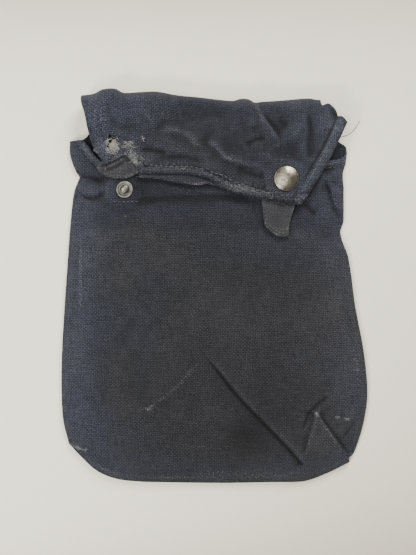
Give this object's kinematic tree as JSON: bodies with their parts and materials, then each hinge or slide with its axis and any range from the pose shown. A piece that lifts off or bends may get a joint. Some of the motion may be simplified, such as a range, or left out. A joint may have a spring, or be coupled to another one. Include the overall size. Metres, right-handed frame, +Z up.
{
  "type": "film changing bag",
  "caption": "Soft dark canvas pouch with rounded lower corners, a fold-over flap closed by a press stud, and short pull tabs.",
  "frame": {"origin": "on the table, under the middle of the pouch lying on its back", "axes": "+X to the right across the front, +Y along the pouch towards the flap's fold, +Z up out of the table"},
  "size_m": [0.19, 0.24, 0.0213],
  "materials": {
    "canvas_front": "worn blue-grey plain-weave canvas",
    "canvas_back": "worn blue-grey plain-weave canvas",
    "canvas_flap": "faded blue-grey plain-weave canvas",
    "canvas_hem": "faded, rubbed canvas hem",
    "webbing": "folded canvas tab, rubbed at its edges",
    "lining": "matt black close-woven cotton",
    "binding_tape": "matt black herringbone tape",
    "thread": "faded blue-grey twisted thread",
    "cap_nickel": "satin nickel plate, warm and lightly scuffed",
    "nickel": "dulled nickel plate",
    "brass": "dull brass",
    "spring_wire": "bright drawn spring wire"
  },
  "bodies": {
    "pouch": {"back_panel": "canvas_back", "back_lining": "lining", "seam_tape": "binding_tape"},
    "front": {"front_panel": "canvas_front", "front_lining": "lining", "mouth_hem": "canvas_hem", "mouth_stitching": "thread", "stud_patch_left": "canvas_hem", "stud_patch_right": "canvas_hem", "patch_stitching": "thread", "stud_left": "nickel", "stud_right": "nickel", "stud_post_left": "brass", "stud_post_right": "brass"},
    "flap": {"flap_panel": "canvas_flap", "flap_lining": "lining", "flap_hem_left": "canvas_hem", "flap_hem_front": "canvas_hem", "flap_hem_right": "canvas_hem", "flap_stitching": "thread", "snap_cap": "cap_nickel", "snap_post": "brass", "snap_socket": "nickel", "snap_spring": "spring_wire"},
    "left_tab": {"left_pull_tab": "webbing", "left_tab_stitching": "thread"},
    "right_tab": {"right_pull_tab": "webbing", "right_tab_stitching": "thread"}
  },
  "joints": [
    {"name": "flap_fold", "type": "hinge", "parent": "pouch", "child": "flap", "pos_m": [0, 0.1202, 0.01075], "axis": [-1, 0, 0], "range_deg": [0, 180]},
    {"name": "mouth_gape", "type": "hinge", "parent": "pouch", "child": "front", "pos_m": [0, -0.12, 0.0012], "axis": [1, 0, 0], "range_deg": [0, 10.01]},
    {"name": "left_tab_lift", "type": "hinge", "parent": "flap", "child": "left_tab", "pos_m": [-0.068, 0.075, 0.0189], "axis": [-0.9782, 0.2079, 0], "range_deg": [0, 110]},
    {"name": "right_tab_lift", "type": "hinge", "parent": "flap", "child": "right_tab", "pos_m": [0.052, 0.0495, 0.0189], "axis": [-0.9782, 0.2079, 0], "range_deg": [0, 110]}
  ],
  "couplings": [
    {"joint": "mouth_gape", "follows": "flap_fold", "ratio": 0.055556}
  ]
}
